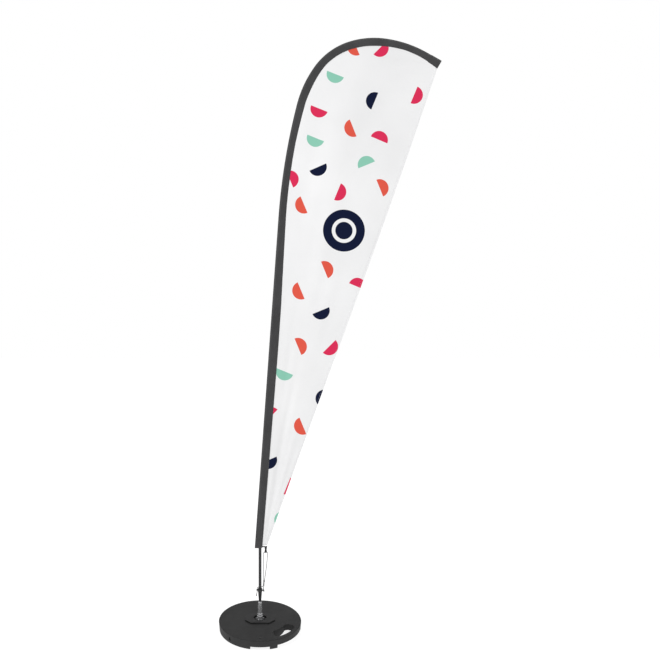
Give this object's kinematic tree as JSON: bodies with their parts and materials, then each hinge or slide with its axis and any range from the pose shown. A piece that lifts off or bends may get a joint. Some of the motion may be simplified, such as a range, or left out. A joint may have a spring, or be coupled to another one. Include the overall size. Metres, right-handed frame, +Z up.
{
  "type": "teardrop flag",
  "caption": "Teardrop flag: a printed cloth panel sleeved on a curved pole that turns on a ball-bearing spindle in a round filled base with a hand slot.",
  "frame": {"origin": "on the pole's and spindle's axis, at floor level under the base", "axes": "+Z up along the spindle, +X toward the flag's free side, -Y toward the printed face"},
  "size_m": [1.2217, 0.4498, 3.2377],
  "materials": {
    "shell_plastic": "fine grained, satin, faint mould marks",
    "concrete": "cast, dry, sealed inside",
    "black_rubber": "dull",
    "black_plastic": "moulded, satin",
    "black_steel": "black coated",
    "zinc_steel": "zinc plated, fine turning marks",
    "bearing_steel": "ground and polished",
    "cage_brass": "pressed",
    "chrome": "bright plated",
    "white_nylon": "machined",
    "black_tube": "black anodised, satin",
    "black_glassfibre": "pultruded glass fibre, wound",
    "sleeve_cloth": "stretch polyester, dark grey",
    "printed_cloth": "white knitted polyester with printed half discs",
    "black_webbing": "woven tape",
    "elastic": "braided sheath over rubber"
  },
  "bodies": {
    "base": {"base_shell": "shell_plastic", "concrete_fill": "concrete", "filler_plug": "black_plastic", "rubber_feet": "black_rubber", "centre_pad": "black_rubber", "hub_insert": "zinc_steel", "hub_plate": "black_steel", "hub_screws": "zinc_steel", "hub_washer": "black_steel", "collar_nut": "chrome", "bearing_housing": "chrome", "bearing_outer_rings": "bearing_steel", "housing_circlip": "zinc_steel", "dust_seal": "black_rubber"},
    "ball_sets": {"bearing_balls": "bearing_steel", "bearing_cages": "cage_brass"},
    "spindle": {"spindle_pin": "zinc_steel", "bearing_inner_rings": "bearing_steel", "bearing_spacer": "zinc_steel", "pin_clip": "zinc_steel", "thrust_washer": "black_plastic"},
    "pole": {"pole_end_ferrule": "black_plastic", "pin_guide_bush": "white_nylon", "pole_lower_tube": "black_tube", "pole_second_tube": "black_glassfibre", "pole_third_tube": "black_glassfibre", "pole_tip_rod": "black_glassfibre", "joint_collar_lower": "zinc_steel", "joint_collar_middle": "zinc_steel", "joint_collar_upper": "zinc_steel", "tip_cap": "black_rubber", "flag_sleeve": "sleeve_cloth", "tip_pocket": "sleeve_cloth", "flag_panel": "printed_cloth", "free_edge_hem": "printed_cloth", "bottom_binding": "black_webbing", "webbing_tab": "black_webbing", "elastic_cord": "elastic"},
    "tensioner": {"hook_ring": "black_plastic", "pinch_screw": "zinc_steel", "pinch_nut": "zinc_steel", "cord_knot": "elastic", "cord_hook_loop": "elastic", "cord_tail": "elastic", "tail_knot": "elastic"}
  },
  "joints": [
    {"name": "spindle_spin", "type": "hinge", "parent": "base", "child": "spindle", "pos_m": [0, 0, 0.11], "axis": [0, 0, 1], "continuous": true},
    {"name": "ball_orbit", "type": "hinge", "parent": "base", "child": "ball_sets", "pos_m": [0, 0, 0.11], "axis": [0, 0, 1], "continuous": true},
    {"name": "pole_lift", "type": "slide", "parent": "spindle", "child": "pole", "axis": [0, 0, 1], "range_m": [0, 0.165]},
    {"name": "tensioner_slide", "type": "slide", "parent": "pole", "child": "tensioner", "axis": [0, 0, 1], "range_m": [0, 0.06], "deforming": ["elastic_cord"]}
  ],
  "couplings": [
    {"joint": "ball_orbit", "follows": "spindle_spin", "ratio": 0.417}
  ]
}
